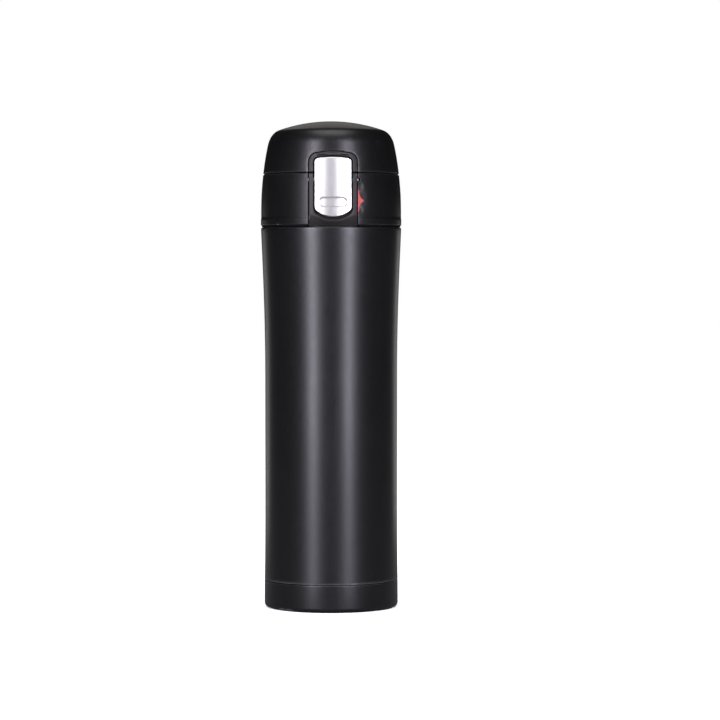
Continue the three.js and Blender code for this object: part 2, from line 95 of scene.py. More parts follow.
# The next four set the heights and widths of the seams for the eye, within tenths of the CAD's.
COLLAR_TOP = high("collar").z - 0.35
RING_LOW = COLLAR_LOW + 0.65
SHOULDER = COLLAR_LOW - 0.4
LID_LOW = COLLAR_TOP + 0.65
LID_TOP = high("lid_shell").z
FRAME_HALF = high("lid_bezel").x
FRAME_LOW = low("latch_housing").z
ARCH_TOP = high("lid_bezel").z
WINDOW_HALF = FRAME_HALF - 2.1
BUTTON_HALF = high("button_cover").x
BUTTON_LOW = low("button_cover").z
BUTTON_TOP = high("button_cover").z
WINDOW_LOW, WINDOW_SAG = BUTTON_LOW - 1.15, 3.7
DECK_TOP = 207.6
SPOUT_TOP = high("mouthpiece").z
HINGE = hinge_axis("lid_hinge")
PIVOT = hinge_axis("button_press")
WALL = 1.8  # of the collar and the lid
STEEL = 0.5  # thickness of the pressed steel
NECK_R = 23.6
MOUTH_R = 21.6
PAINT_EDGE_R = 26.5  # on the shoulder, where the paint stops under the lid unit
THREAD_LEAD = 8
PLUG_R = 20.6
LUG_INNER, LUG_OUTER = 10.1, 12.9  # the hinge's lugs on the collar, along X
PIN_BORE_R = 1.4


# ---- mesh making: a shape is (vertices in millimetres, faces) ----

def joined(*shapes):
    vertices, faces = [], []
    for shape_vertices, shape_faces in shapes:
        start = sum(len(v) for v in vertices)
        vertices.append(np.asarray(shape_vertices, float).reshape(-1, 3))
        faces += [[i + start for i in face] for face in shape_faces]
    return np.concatenate(vertices), faces


def mirrored(shape):
    return shape[0] * (-1, 1, 1), shape[1]


def piece(name, shape, look, body, nodes, sharp=38):
    """Makes the object: merges doubles, turns faces outwards, and shades it smooth between sharp edges.

    A look is (material, slot). Without a body it rides nowhere."""
    vertices, faces = shape
    material, slot = look
    mesh = bpy.data.meshes.new(name)
    mesh.from_pydata((vertices * MM).tolist(), [], faces)
    work = bmesh.new()
    work.from_mesh(mesh)
    bmesh.ops.remove_doubles(work, verts=work.verts, dist=2e-7)
    bmesh.ops.dissolve_degenerate(work, edges=work.edges, dist=1e-8)
    bmesh.ops.recalc_face_normals(work, faces=work.faces)
    work.to_mesh(mesh)
    work.free()
    mesh.shade_smooth()
    mesh.set_sharp_from_angle(angle=math.radians(sharp))
    obj = bpy.data.objects.new(name, mesh)
    bpy.context.scene.collection.objects.link(obj)
    mesh.materials.append(material)
    if body:
        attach(obj, body)
    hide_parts(*nodes)
    return obj


def arc(centre, radius, start, end, steps):
    """Points of an arc, angles in degrees."""
    angles = np.radians(np.linspace(start, end, steps + 1))
    return [(centre[0] + radius * math.cos(a), centre[1] + radius * math.sin(a)) for a in angles]


def bezier(points, steps):
    p = np.asarray(points, float)
    t = np.linspace(0, 1, steps + 1)[:, None]
    if len(p) == 3:
        curve = (1 - t) ** 2 * p[0] + 2 * t * (1 - t) * p[1] + t ** 2 * p[2]
    else:
        curve = (1 - t) ** 3 * p[0] + 3 * t * (1 - t) ** 2 * p[1]
        curve = curve + 3 * t ** 2 * (1 - t) * p[2] + t ** 3 * p[3]
    return [tuple(q) for q in curve]


def rounded(corners, radius=0.3, steps=4):
    """An outline with its corners rounded. A corner may carry its own radius as a third number."""
    points = [np.array(c[:2], float) for c in corners]
    radii = [c[2] if len(c) > 2 else radius for c in corners]
    result = []
    count = len(points)
    for i, point in enumerate(points):
        if radii[i] <= 0:
            result.append(tuple(point))
            continue
        before, after = points[i - 1] - point, points[(i + 1) % count] - point
        length_before, length_after = np.linalg.norm(before), np.linalg.norm(after)
        before, after = before / length_before, after / length_after
        half = math.acos(max(-1, min(1, before @ after))) / 2
        if half > math.radians(86):
            result.append(tuple(point))
            continue
        reach = min(radii[i] / math.tan(half), 0.48 * length_before, 0.48 * length_after)
        bisector = (before + after) / np.linalg.norm(before + after)
        centre = point + bisector * reach / math.cos(half)
        start, end = point + before * reach - centre, point + after * reach - centre
        first = math.atan2(start[1], start[0])
        sweep = (math.atan2(end[1], end[0]) - first + math.pi) % TURN - math.pi
        size = np.linalg.norm(start)
        for k in range(steps + 1):
            angle = first + sweep * k / steps
            result.append((centre[0] + size * math.cos(angle), centre[1] + size * math.sin(angle)))
    return result


def revolve(outline, columns=192):
    """Turns an outline of (radius, z) about Z. It closes on itself unless it ends on the axis."""
    angles = np.linspace(0, TURN, columns, endpoint=False)
    vertices, rows = [], []
    for r, z in outline:
        if r < 1e-6:
            rows.append([len(vertices)] * columns)
            vertices.append((0, 0, z))
        else:
            rows.append(list(range(len(vertices), len(vertices) + columns)))
            vertices += [(r * math.sin(a), -r * math.cos(a), z) for a in angles]
    ends_on_axis = outline[-1][0] < 1e-6
    faces = []
    for i in range(len(outline) - ends_on_axis):
        this, following = rows[i], rows[(i + 1) % len(rows)]
        for k in range(columns):
            corner = (k + 1) % columns
            ring = [this[k], this[corner], following[corner], following[k]]
            face = [v for n, v in enumerate(ring) if v != ring[n - 1]]
            if len(face) > 2:
                faces.append(face)
    return np.array(vertices, float), faces


def turned(*corners, columns=192):
    """A turned piece from its corners, (radius, z, rounding)."""
    return revolve(rounded(corners), columns)


def rod_x(radius, from_x, to_x, axis, edge=0.15):
    """A rod along X through (y, z), with rounded rims."""
    ends = [(0, from_x, 0), (radius, from_x, edge), (radius, to_x, edge), (0, to_x, 0)]
    vertices, faces = turned(*ends, columns=48)
    return np.stack([vertices[:, 2], axis[0] + vertices[:, 0], axis[1] + vertices[:, 1]], 1), faces


def block(x, y, z, edge=0.25):
    """A box with rounded edges."""
    work = bmesh.new()
    bmesh.ops.create_cube(work, size=1)
    for vertex in work.verts:
        for i, (start, end) in enumerate((x, y, z)):
            vertex.co[i] = start if vertex.co[i] < 0 else end
    bmesh.ops.bevel(work, geom=list(work.edges), offset=edge, segments=3, profile=0.5, affect="EDGES")
    shape = np.array([v.co for v in work.verts], float), [[v.index for v in f.verts] for f in work.faces]
    work.free()
    return shape


def sweep(path, radius, sides):
    """A round wire along a path, with closed ends."""
    p = np.asarray(path, float)
    tangents = np.gradient(p, axis=0)
    tangents /= np.linalg.norm(tangents, axis=1)[:, None]
    normal = np.cross(tangents[0], (0, 0, 1) if abs(tangents[0][2]) < 0.9 else (1, 0, 0))
    vertices = []
    for point, tangent in zip(p, tangents):
        normal = normal - tangent * (normal @ tangent)
        normal /= np.linalg.norm(normal)
        across = np.cross(tangent, normal)
        for k in range(sides):
            a = TURN * k / sides
            vertices.append(point + radius * (math.cos(a) * normal + math.sin(a) * across))
    faces = []
    for first in range(0, (len(p) - 1) * sides, sides):
        for k in range(sides):
            n = (k + 1) % sides
            faces.append([first + k, first + n, first + sides + n, first + sides + k])
    faces.append(list(range(sides))[::-1])
    faces.append([(len(p) - 1) * sides + k for k in range(sides)])
    return np.array(vertices), faces


# ---- plates: an outline laid on a surface, given a thickness and rounded rims ----

def line(spacing, *corners):
    """A line through its corners, with points about a spacing apart."""
    points = []
    for (x0, y0), (x1, y1) in zip(corners, corners[1:]):
        steps = max(1, int(math.hypot(x1 - x0, y1 - y0) / spacing))
        points += [(x0 + (x1 - x0) * k / steps, y0 + (y1 - y0) * k / steps) for k in range(steps)]
    return points + [corners[-1]]


def closed_line(spacing, loop):
    return np.array(line(spacing, *loop, loop[0])[:-1])


def rectangle(x0, x1, y0, y1):
    return [(x0, y0), (x1, y0), (x1, y1), (x0, y1)]


def area(loop):
    x, y = loop[:, 0], loop[:, 1]
    return 0.5 * np.sum(x * np.roll(y, -1) - np.roll(x, -1) * y)


def inward(loop):
    """For each point of a loop that runs anticlockwise round the material, the mitred way into it."""
    ahead = np.roll(loop, -1, 0) - loop
    ahead /= np.linalg.norm(ahead, axis=1)[:, None]
    sides = np.stack([-ahead[:, 1], ahead[:, 0]], 1)
    both = sides + np.roll(sides, 1, 0)
    return both / np.maximum((both ** 2).sum(1) / 2, 0.5)[:, None]


def inside(points, loops):
    """Which points lie inside the first loop and outside the rest."""
    crossings = np.zeros(len(points), int)
    for loop in loops:
        for a, b in zip(loop, np.roll(loop, -1, 0)):
            if a[1] == b[1]:
                continue
            spans = (a[1] > points[:, 1]) != (b[1] > points[:, 1])
            at = a[0] + (points[:, 1] - a[1]) * (b[0] - a[0]) / (b[1] - a[1])
            crossings += spans & (points[:, 0] < at)
    return crossings % 2 == 1


def clear_of(points, others, distance):
    near = np.zeros(len(points), bool)
    for part in np.array_split(others, max(1, len(others) // 200)):
        gaps = np.abs(points[:, None, :] - part[None, :, :]).max(2)
        near |= (gaps < distance).any(1)
    return ~near


def triangulated(loops, spacing, lines=()):
    """Fills loops with triangles on a grid of points that also follows the given lines."""
    chains = list(loops) + [np.asarray(line, float) for line in lines]
    edges, start = [], 0
    for number, chain in enumerate(chains):
        closed = number < len(loops)
        count = len(chain)
        edges += [(start + i, start + (i + 1) % count) for i in range(count if closed else count - 1)]
        start += count
    fixed = np.concatenate(chains)
    (x0, y0), (x1, y1) = loops[0].min(0), loops[0].max(0)
    columns, rows = max(2, round((x1 - x0) / spacing)), max(2, round((y1 - y0) / spacing))
    grid = np.meshgrid(np.linspace(x0, x1, columns + 1), np.linspace(y0, y1, rows + 1))
    grid = np.stack(grid, -1).reshape(-1, 2)
    grid = grid[inside(grid, loops)]
    grid = grid[clear_of(grid, fixed, 0.45 * spacing)]
    points = np.concatenate([fixed, grid])
    out, _, triangles, origins, _, _ = delaunay_2d_cdt([Vector(p) for p in points], edges, [], 0, 1e-5)
    out = np.array([tuple(p) for p in out])
    centres = np.array([out[list(t)].mean(0) for t in triangles])
    kept = inside(centres, loops)
    number_of = {source: i for i, sources in enumerate(origins) for source in sources}
    return out, [list(t) for t, k in zip(triangles, kept) if k], number_of


def plate(loops, place, thickness, rim=0.3, back_rim=0.0, spacing=1.0, lines=(), free=None, steps=4):
    """A sheet bounded by loops, laid on a surface by place(x, y, depth), with its rims rounded.

    The first loop is the outside and the rest are holes. Where free(points) is true the edge stays open, to go
    on into another shape."""
    loops = [closed_line(spacing, loop) for loop in loops]
    loops = [loop if (area(loop) > 0) == (i == 0) else loop[::-1] for i, loop in enumerate(loops)]
    ways = [inward(loop) for loop in loops]
    bound = [np.ones(len(loop), bool) if free is None else ~free(loop) for loop in loops]
    for way, held, loop in zip(ways, bound, loops):
        way[~held] = 0
        ends = held & (~np.roll(held, 1) | ~np.roll(held, -1))
        way[ends, 0] = 0
        way[ends, 1] = np.sign(way[ends, 1])
    vertices, faces = [], []

    def add(points, depth):
        start = len(vertices)
        vertices.extend(place(points[:, 0], points[:, 1], np.full(len(points), float(depth))))
        return start

    def face_of(edge, depth):
        """One side, its rim moved in by the rounding. Returns the numbers of its rim's points."""
        moved = [loop + way * edge for loop, way in zip(loops, ways)]
        support = [loop + way * (edge * 1.7) for loop, way in zip(loops, ways)] if edge and not free else []
        support = [np.vstack([loop, loop[:1]]) for loop in support]
        out, triangles, number_of = triangulated(moved, spacing, list(lines) + support)
        start = add(out, depth)
        faces.extend([[start + i for i in t] for t in triangles])
        numbers, index = [], 0
        for loop in moved:
            numbers.append([start + number_of[index + i] for i in range(len(loop))])
            index += len(loop)
        return numbers

    def rounding(edge, sign):
        """(inset, depth) pairs from the face to the wall."""
        angles = np.linspace(0, math.pi / 2, steps + 1)[1:]
        return [(edge * (1 - math.sin(a)), sign * edge * (1 - math.cos(a))) for a in angles]

    front = face_of(rim, 0)
    back = face_of(back_rim, thickness)
    layers = [(inset, depth) for inset, depth in rounding(rim, 1)] if rim else []
    rear = [(inset, thickness + depth) for inset, depth in rounding(back_rim, -1)][::-1] if back_rim else []
    for n, (loop, way, held) in enumerate(zip(loops, ways, bound)):
        previous = front[n]
        rings = []
        for inset, depth in layers + rear:
            start = add(loop + way * inset, depth)
            rings.append(list(range(start, start + len(loop))))
        for ring in rings + [back[n]]:
            for i in range(len(loop)):
                k = (i + 1) % len(loop)
                if held[i] and held[k]:
                    faces.append([previous[i], previous[k], ring[k], ring[i]])
            previous = ring
    return np.array(vertices), faces


# ---- the cap's surface, which the collar, the frame, the button and the lid share ----
CAP_SIDE = [(COLLAR_R, 190), (COLLAR_R, 199), (33.36, 213.4), (30.6, 225.4)]
CROWN_EDGE = (25.5, 231.9)
CROWN_R = 76.1
_side = np.array([(COLLAR_R, 150)] + bezier(CAP_SIDE, 300))
STRAIGHT_SIDES = 0.62  # up to this angle from the front, upright edges are straight in the front view


def cap_radius(z):
    return np.interp(z, _side[:, 1], _side[:, 0])


def smooth(value, start, end):
    t = np.clip((value - start) / (end - start), 0, 1)
    return t * t * (3 - 2 * t)


def on_cap(x, z, depth):
    """A point of the front, by its true x, at a depth below the cap's surface."""
    r = cap_radius(z) - depth
    return np.stack([x, -np.sqrt(np.maximum(r ** 2 - x ** 2, 0)), z], 1)


def round_cap(s, z, depth, straight=1.0):
    """A point all round the cap, by s, the way along the collar's widest circle from the front."""
    r = cap_radius(z) - depth
    angle = s / COLLAR_R
    wrapped = (angle + math.pi) % TURN - math.pi
    across = np.arcsin(np.clip(COLLAR_R * np.sin(wrapped) / r, -1, 1))
    share = straight * (1 - smooth(np.abs(wrapped), STRAIGHT_SIDES, 2 * STRAIGHT_SIDES))
    angle = angle + share * (across - wrapped) * (np.abs(wrapped) < math.pi / 2)
    return np.stack([r * np.sin(angle), -r * np.cos(angle), z], 1)


def along(x):
    """s for a true x near the front."""
    return COLLAR_R * math.asin(x / COLLAR_R)


def in_plane(height):
    """Places a plate level, its front face up at that height."""
    return lambda x, y, depth: np.stack([x, y, height - depth], 1)


def upright(from_x, side=1):
    """Places a plate of (y, z) across X, its front face at from_x, looking towards side."""
    return lambda y, z, depth: np.stack([from_x - side * depth, y, z], 1)


def flat_top(half, foot, bend, crown, peak, corner):
    """A flat-arched top from right to left: rounded corners from foot to crown, and a peak in the middle."""
    right = bezier([(half, foot), (half, bend), (half - corner, crown)], 10)
    over = bezier([(half - corner, crown), (0, peak), (corner - half, crown)], 20)
    left = bezier([(corner - half, crown), (-half, bend), (-half, foot)], 10)
    return right + over[1:] + left[1:]


def arch(half, top, corner, foot):
    """The frame's arch, anticlockwise from its lower left."""
    crown = top - 0.6
    return [(-half, foot), (half, foot)] + flat_top(half, crown - corner, crown, crown, top + 0.6, corner)


def bowl(x, half, bottom, sag):
    """Height at x of the button's lower edge, one shallow arc."""
    return bottom + sag * (np.abs(x) / half) ** 2.3


def button_outline(half, bottom, top, corner, sag=3.1):
    """The button's plate: a flat-arched top and a bowl for its bottom edge."""
    low_corner = bottom + sag
    lower_edge = [(x, float(bowl(x, half, bottom, sag))) for x in np.linspace(-half, half, 37)]
    lower_corner = 1.1
    softened = [p for p in lower_edge if abs(p[0]) < half - lower_corner]
    ends = [bezier([(-half, low_corner + lower_corner), (-half, low_corner - 0.35), softened[0]], 8),
            bezier([softened[-1], (half, low_corner - 0.35), (half, low_corner + lower_corner)], 8)]
    upper = flat_top(half, top - corner, top - 0.45, top - 0.35, top + 0.35, corner)
    return ends[0] + softened[1:-1] + ends[1] + upper


def pill(half_x, half_z, middle, steps=12):
    radius = half_z
    right = arc((half_x - radius, middle), radius, -90, 90, steps)
    return right + [(-x, 2 * middle - z) for x, z in right]


def with_thread(shape, surface_r, from_z, turns, height, half_width):
    """Rolls both starts of the screw thread into that surface, inwards if the height is negative."""
    vertices, faces = shape
    x, y, z = vertices.T
    angle = np.arctan2(y, x) % TURN
    raised = np.zeros(len(z))
    for start in (0, math.pi):
        for lap in range(-1, math.ceil(turns) + 1):
            way = (angle - start) / TURN + lap
            run = way / turns
            ends = smooth(run, 0, 0.09) * (1 - smooth(run, 0.91, 1))
            gap = np.abs(z - from_z - THREAD_LEAD * way) / half_width
            raised = np.maximum(raised, ends * np.cos(np.minimum(gap, 1) * math.pi / 2).clip(0) ** 1.2)
    r = np.hypot(x, y)
    held = np.abs(r - surface_r) < 1e-6
    scale = np.where(held, (r + height * raised) / np.maximum(r, 1e-9), 1)
    return np.stack([x * scale, y * scale, z], 1), faces


# ---- materials: each is a Principled shader on object coordinates, with its own grain, relief and wear ----

def opaque(colour):
    """A colour with its alpha, or a node's output as it is."""
    return (*colour, 1) if isinstance(colour, tuple) else colour


class Finish:
    """A material and the nodes of its pattern. Patterns are in metres, so scales are per metre."""

    def __init__(self, name, **sockets):
        self.material = bpy.data.materials.new(name)
        self.material.use_nodes = True
        self.tree = self.material.node_tree
        self.shader = self.tree.nodes["Principled BSDF"]
        for socket, value in sockets.items():
            self.shader.inputs[socket.replace("_", " ")].default_value = value
        self.place = self.node("ShaderNodeTexCoord").outputs["Object"]

    def node(self, kind, inputs=None, **settings):
        """Adds a node. An input is a value, or an output that is linked to it."""
        made = self.tree.nodes.new(kind)
        for key, value in settings.items():
            setattr(made, key, value)
        for key, value in (inputs or {}).items():
            if isinstance(value, bpy.types.NodeSocket):
                self.tree.links.new(value, made.inputs[key])
            else:
                made.inputs[key].default_value = value
        return made

    def noise(self, scale, detail=2.0, stretch=(1, 1, 1)):
        moved = self.node("ShaderNodeMapping", {"Vector": self.place, "Scale": stretch}).outputs[0]
        return self.node("ShaderNodeTexNoise", {"Vector": moved, "Scale": scale, "Detail": detail}).outputs[0]

    def pits(self, scale):
        """Rounded cells, as in a spark-eroded mould."""
        return self.node("ShaderNodeTexVoronoi", {"Vector": self.place, "Scale": scale}).outputs["Distance"]

    def spread(self, value, low, high, start=0.3, end=0.7):
        """Maps a pattern's range from start to end onto low to high."""
        settings = {"Value": value, "From Min": start, "From Max": end, "To Min": low, "To Max": high}
        return self.node("ShaderNodeMapRange", settings).outputs[0]

    def worn(self, start, end):
        """1 along the outer edges, where the surface turns sharply, broken up by a noise."""
        edge = self.spread(self.node("ShaderNodeNewGeometry").outputs["Pointiness"], 0, 1, start, end)
        patchy = self.spread(self.noise(900), 0.35, 1)
        return self.node("ShaderNodeMath", {0: edge, 1: patchy}, operation="MULTIPLY").outputs[0]

    def mix(self, share, first, second):
        settings = {"Factor": share, 6: opaque(first), 7: opaque(second)}
        return self.node("ShaderNodeMix", settings, data_type="RGBA").outputs[2]

    def mottled(self, scale, detail, first, second):
        return self.mix(self.spread(self.noise(scale, detail), 0, 1), first, second)

    def link(self, output, socket):
        self.tree.links.new(output, self.shader.inputs[socket])

    def finished(self, tone, roughness, *reliefs, rubbed=None, edge=(0.51, 0.56)):
        """Links it up. Roughness is (pattern, low, high), a relief is (pattern, depth in metres), and rubbed
        is the colour of worn edges."""
        if rubbed:
            tone = self.mix(self.worn(*edge), tone, rubbed)
        self.link(tone, "Base Color")
        self.link(self.spread(*roughness), "Roughness")
        below = {}
        for height, depth in reliefs:
            inputs = {"Height": height, "Distance": depth, "Strength": 1.0, **below}
            below = {"Normal": self.node("ShaderNodeBump", inputs).outputs[0]}
        for normal in below.values():
            self.link(normal, "Normal")
        return self.material


def body_paint():
    """Satin black powder coat: a faint violet cast, orange peel, and lighter rubbed edges."""
    paint = Finish("satin_black_paint")
    return paint.finished(
        paint.mottled(60, 3, (.0014, .0013, .0019), (.0019, .0018, .0026)), (paint.noise(420, 3), 0.31, 0.35),
        (paint.noise(1100, 2), 6e-6), (paint.noise(5200, 1), 1.5e-6), rubbed=(.05, .05, .055))


def black_plastic():
    """Black polypropylene with the fine matt texture of its mould."""
    plastic = Finish("matte_black_plastic", Specular_IOR_Level=0.4)
    return plastic.finished(
        plastic.mottled(45, 2, (.0020, .0019, .0022), (.0028, .0027, .0030)),
        (plastic.noise(700, 3), 0.32, 0.37), (plastic.pits(3600), 9e-6), (plastic.noise(2600, 2), 8e-6),
        rubbed=(.045, .045, .046))


def seam_shade_black():
    """A dead matt black for the rings in the seams, as painted shade: it stands in for the shadow in the gaps.
    """
    rubber = Finish("painted_seam_shade", Specular_IOR_Level=0.08)
    return rubber.finished(
        rubber.mix(rubber.noise(300, 3), (.0012, .0012, .0013), (.0026, .0025, .0027)),
        (rubber.noise(900, 2), 0.7, 0.85), (rubber.noise(2500, 2), 6e-6))


def frame_plastic():
    """The button's frame: a smoother, warmer dark grey."""
    plastic = Finish("warm_grey_plastic", Specular_IOR_Level=0.24)
    return plastic.finished(
        plastic.mottled(70, 2, (.0034, .0027, .0028), (.0046, .0038, .0038)),
        (plastic.noise(800, 3), 0.36, 0.43), (plastic.noise(3000, 2), 5e-6), rubbed=(.075, .066, .064))


def inner_plastic():
    """Smooth black plastic of the parts that touch the drink, with faint flow marks."""
    plastic = Finish("smooth_black_plastic")
    flow = plastic.noise(90, 3, (1, 1, 4))
    return plastic.finished(plastic.mix(flow, (.016, .016, .017), (.021, .021, .023)), (flow, 0.27, 0.36),
                            (plastic.noise(500, 2), 6e-6), rubbed=(.06, .06, .062))


def silver_plate():
    """The button's plate: bright satin metal, drawn upright, with a brighter rubbed rim."""
    metal = Finish("bright_satin_metal", Metallic=1.0)
    lines = metal.noise(7000, 2, (1, 1, 0.012))
    return metal.finished(metal.mix(lines, (.76, .755, .72), (.84, .835, .795)), (lines, 0.31, 0.35),
                          (lines, 4e-7), rubbed=(.95, .95, .95))


def red_plastic():
    """The lock slide: red acetal, a little paler where thumbs rub it."""
    plastic = Finish("red_acetal", Subsurface_Weight=0.06, Subsurface_Scale=0.0008,
                     Subsurface_Radius=(1.0, 0.25, 0.2))
    return plastic.finished(
        plastic.mottled(220, 2, (.21, .017, .018), (.25, .023, .022)), (plastic.noise(900, 3), 0.36, 0.46),
        (plastic.noise(2400, 2), 5e-6), rubbed=(.52, .09, .08), edge=(0.52, 0.6))


def turned_steel():
    """Bare stainless steel with the fine rings that spinning leaves."""
    steel = Finish("spun_steel", Metallic=1.0)
    rings = steel.noise(900, 4, (0.03, 0.03, 4))
    tone = steel.mottled(35, 3, (.53, .54, .55), (.60, .60, .60))
    return steel.finished(tone, (rings, 0.20, 0.34), (rings, 3e-6))


def pressed_steel():
    """The outer bottom: a pressed disc, duller and finely scuffed."""
    steel = Finish("pressed_steel", Metallic=1.0)
    scuffs = steel.noise(1500, 4, (1, 0.15, 1))
    tone = steel.mix(steel.noise(40, 3), (.44, .445, .45), (.54, .54, .545))
    return steel.finished(tone, (scuffs, 0.30, 0.44), (scuffs, 4e-6))


def spring_steel():
    """Hard drawn wire and ground pins, with fine lines along X."""
    steel = Finish("drawn_wire_steel", Metallic=1.0)
    drawn = steel.noise(3000, 3, (0.05, 1, 1))
    tone = steel.mix(steel.noise(300, 2), (.42, .42, .43), (.56, .555, .55))
    return steel.finished(tone, (drawn, 0.22, 0.36), (drawn, 2e-6))


def silicone():
    """Milky silicone, dusty to the eye, with light passing into it."""
    rubber = Finish("milky_silicone", Specular_IOR_Level=0.4, Subsurface_Weight=0.5, Subsurface_Scale=0.003,
                    Subsurface_Radius=(1.0, 0.9, 0.8))
    return rubber.finished(rubber.mottled(80, 3, (.27, .28, .285), (.32, .33, .335)),
                           (rubber.noise(1200, 3), 0.46, 0.60), (rubber.noise(2200, 2), 8e-6))


def copper_foil():
    """Thin copper foil, crinkled where it was wrapped."""
    foil = Finish("crinkled_copper", Metallic=1.0)
    tone = foil.mix(foil.noise(120, 4), (.62, .28, .15), (.80, .42, .26))
    return foil.finished(tone, (foil.noise(500, 3), 0.22, 0.42), (foil.noise(160, 4), 1.5e-4),
                         (foil.pits(220), 6e-5))


def getter_metal():
    """Dull pressed powder, porous."""
    metal = Finish("sintered_grey_metal", Metallic=0.85)
    return metal.finished(metal.mix(metal.noise(900, 5), (.20, .185, .17), (.34, .32, .30)),
                          (metal.noise(1600, 4), 0.55, 0.8), (metal.pits(3200), 6e-5))


# Looks: a material and its slot.
PAINT = body_paint(), "body_paint"
BLACK = black_plastic(), "black_plastic"
# painted shade: the dead matt black that fills the seams where there is only shadow
SEAM_SHADE = seam_shade_black(), "black_plastic"
FRAME = frame_plastic(), "frame_plastic"
INNER = inner_plastic(), "inner_plastic"
SILVER = silver_plate(), "silver_plate"
RED = red_plastic(), "red_plastic"
SPUN = turned_steel(), "bare_steel"
PRESSED = pressed_steel(), "bare_steel"
WIRE = spring_steel(), "spring_steel"
SILICONE = silicone(), "silicone"
COPPER = copper_foil(), "copper_foil"
GETTER = getter_metal(), "getter_metal"


# ---- the flask ----

def body_wall():
    """The painted outer wall, from inside the base cup up to the flat ring of the shoulder."""
    corner = 0.7
    foot = BASE_TOP + 0.3
    outside = rounded([(31.5, 3, 0), (31.5, foot - 0.1, 0), (BASE_R - 0.3, foot, 0.1),
                       (BASE_R - 0.03, foot + 0.2, 0)])
    outside += bezier([(BASE_R - 0.03, foot + 0.9), (32.25, 26), (WAIST_R, 42), (WAIST_R, 60)], 24)
    outside += bezier([(WAIST_R, 112), (WAIST_R, 145), (33.6, 170), (BODY_R, 183.2)], 40)
    outside += arc((BODY_R - corner, SHOULDER - corner), corner, 0, 90, 10)
    inner_waist, under = WAIST_R - STEEL, SHOULDER - STEEL
    within = [(PAINT_EDGE_R, SHOULDER), (PAINT_EDGE_R, under), (32.6, under)]
    within += bezier([(BODY_R - STEEL, 182.4), (33.1, 170), (inner_waist, 145), (inner_waist, 112)], 16)
    return revolve(outside + within + [(inner_waist, 22), (31, 15), (31, 3)])


def neck_sleeve():
    """The bare neck with its rolled thread."""
    fillet = 1.2
    foot = SHOULDER + fillet
    outside = [(PAINT_EDGE_R, SHOULDER)] + arc((NECK_R + fillet, foot), fillet, 270, 180, 6)
    outside += [(NECK_R, z) for z in np.arange(foot + 0.3, NECK_TOP - 0.3, 0.28)] + [(NECK_R, NECK_TOP - 0.1)]
    within = [(NECK_R - 0.1, NECK_TOP), (NECK_R - STEEL, NECK_TOP), (NECK_R - STEEL, foot)]
    within += arc((NECK_R + fillet, foot), fillet + STEEL, 180, 270, 6)[1:]
    within += [(PAINT_EDGE_R, SHOULDER - STEEL)]
    return with_thread(revolve(outside + within), NECK_R, 189.5, 1.0, 1.15, 1.45)


def inner_vessel():
    """The steel vessel that holds the drink, its mouth and its rolled lip."""
    inner_r, throat_r = VESSEL_R - STEEL, MOUTH_R + STEEL
    corner = 7
    floor = VESSEL_LOW + STEEL
    within = [(0, floor + 1.0), (8, floor + 0.9), (inner_r - corner - 3, floor + 0.25)]
    within += arc((inner_r - corner, floor + corner), corner, -82, 0, 12)
    within += bezier([(inner_r, 164), (inner_r, 175.5), (MOUTH_R, 171), (MOUTH_R, 183)], 24)
    within += [(MOUTH_R, LIP_TOP - 0.45)] + arc((MOUTH_R + 0.4, LIP_TOP - 0.4), 0.4, 170, 90, 5)
    outside = rounded([(NECK_R - 0.5, LIP_TOP, 0), (NECK_R, LIP_TOP, 0.25), (NECK_R, LIP_TOP - 0.6, 0.15),
                       (throat_r, LIP_TOP - 0.6, 0.1), (throat_r, LIP_TOP - 3, 0)])
    outside += bezier([(throat_r, 183.4), (throat_r, 171.6), (VESSEL_R, 176.2), (VESSEL_R, 165)], 24)
    outside += arc((VESSEL_R - corner, VESSEL_LOW + corner), corner, 0, -90, 12) + [(0, VESSEL_LOW)]
    return revolve(within + outside)


def outer_bottom():
    """The pressed disc inside the base cup: a raised middle, a turned-up rim and the evacuation hole."""
    return turned((1.3, 5.4, 0.1), (24, 5.4, 1.2), (26, 4.2, 1.2), (30.6, 4.2, 0.8), (30.6, 8.5, 0.1),
                  (30.1, 8.5, 0.1), (30.1, 4.7, 0.4), (26.2, 4.7, 1.0), (24.2, 5.9, 1.0), (1.3, 5.9, 0.1),
                  columns=144)


def base_cup():
    """The painted cup under the flask: a rest ring, a recess with a moulded ring, and a soft upper edge."""
    corner = 2.2
    outline = rounded([(0, 1.5, 0), (9.2, 1.5, 0.15), (9.6, 1.15, 0.15), (10.4, 1.15, 0.15),
                       (10.8, 1.5, 0.15), (25.6, 1.5, 0.5), (27.2, 0, 0.5), (BASE_R - corner, 0, 0)])
    outline += arc((BASE_R - corner, corner), corner, -90, 0, 14)[1:]
    outline += rounded([(BASE_R, BASE_TOP - 0.6, 0), (BASE_R, BASE_TOP, 0.2), (31.85, BASE_TOP, 0.15),
                        (31.85, 2.4, 1.0), (30.4, 0.8, 0.6), (27.5, 0.8, 0.6), (25.9, 2.3, 0.6), (0, 2.3, 0)])
    return revolve(outline)


def foil():
    """The foil round the vessel, a thin tube in short steps so that it can crinkle."""
    outer, inner = 29.55, 29.4
    outline = [(inner, 24), (outer, 24)] + [(outer, z) for z in range(28, 158, 4)]
    return revolve(outline + [(outer, 160), (inner, 160)] + [(inner, z) for z in range(156, 26, -4)], 144)


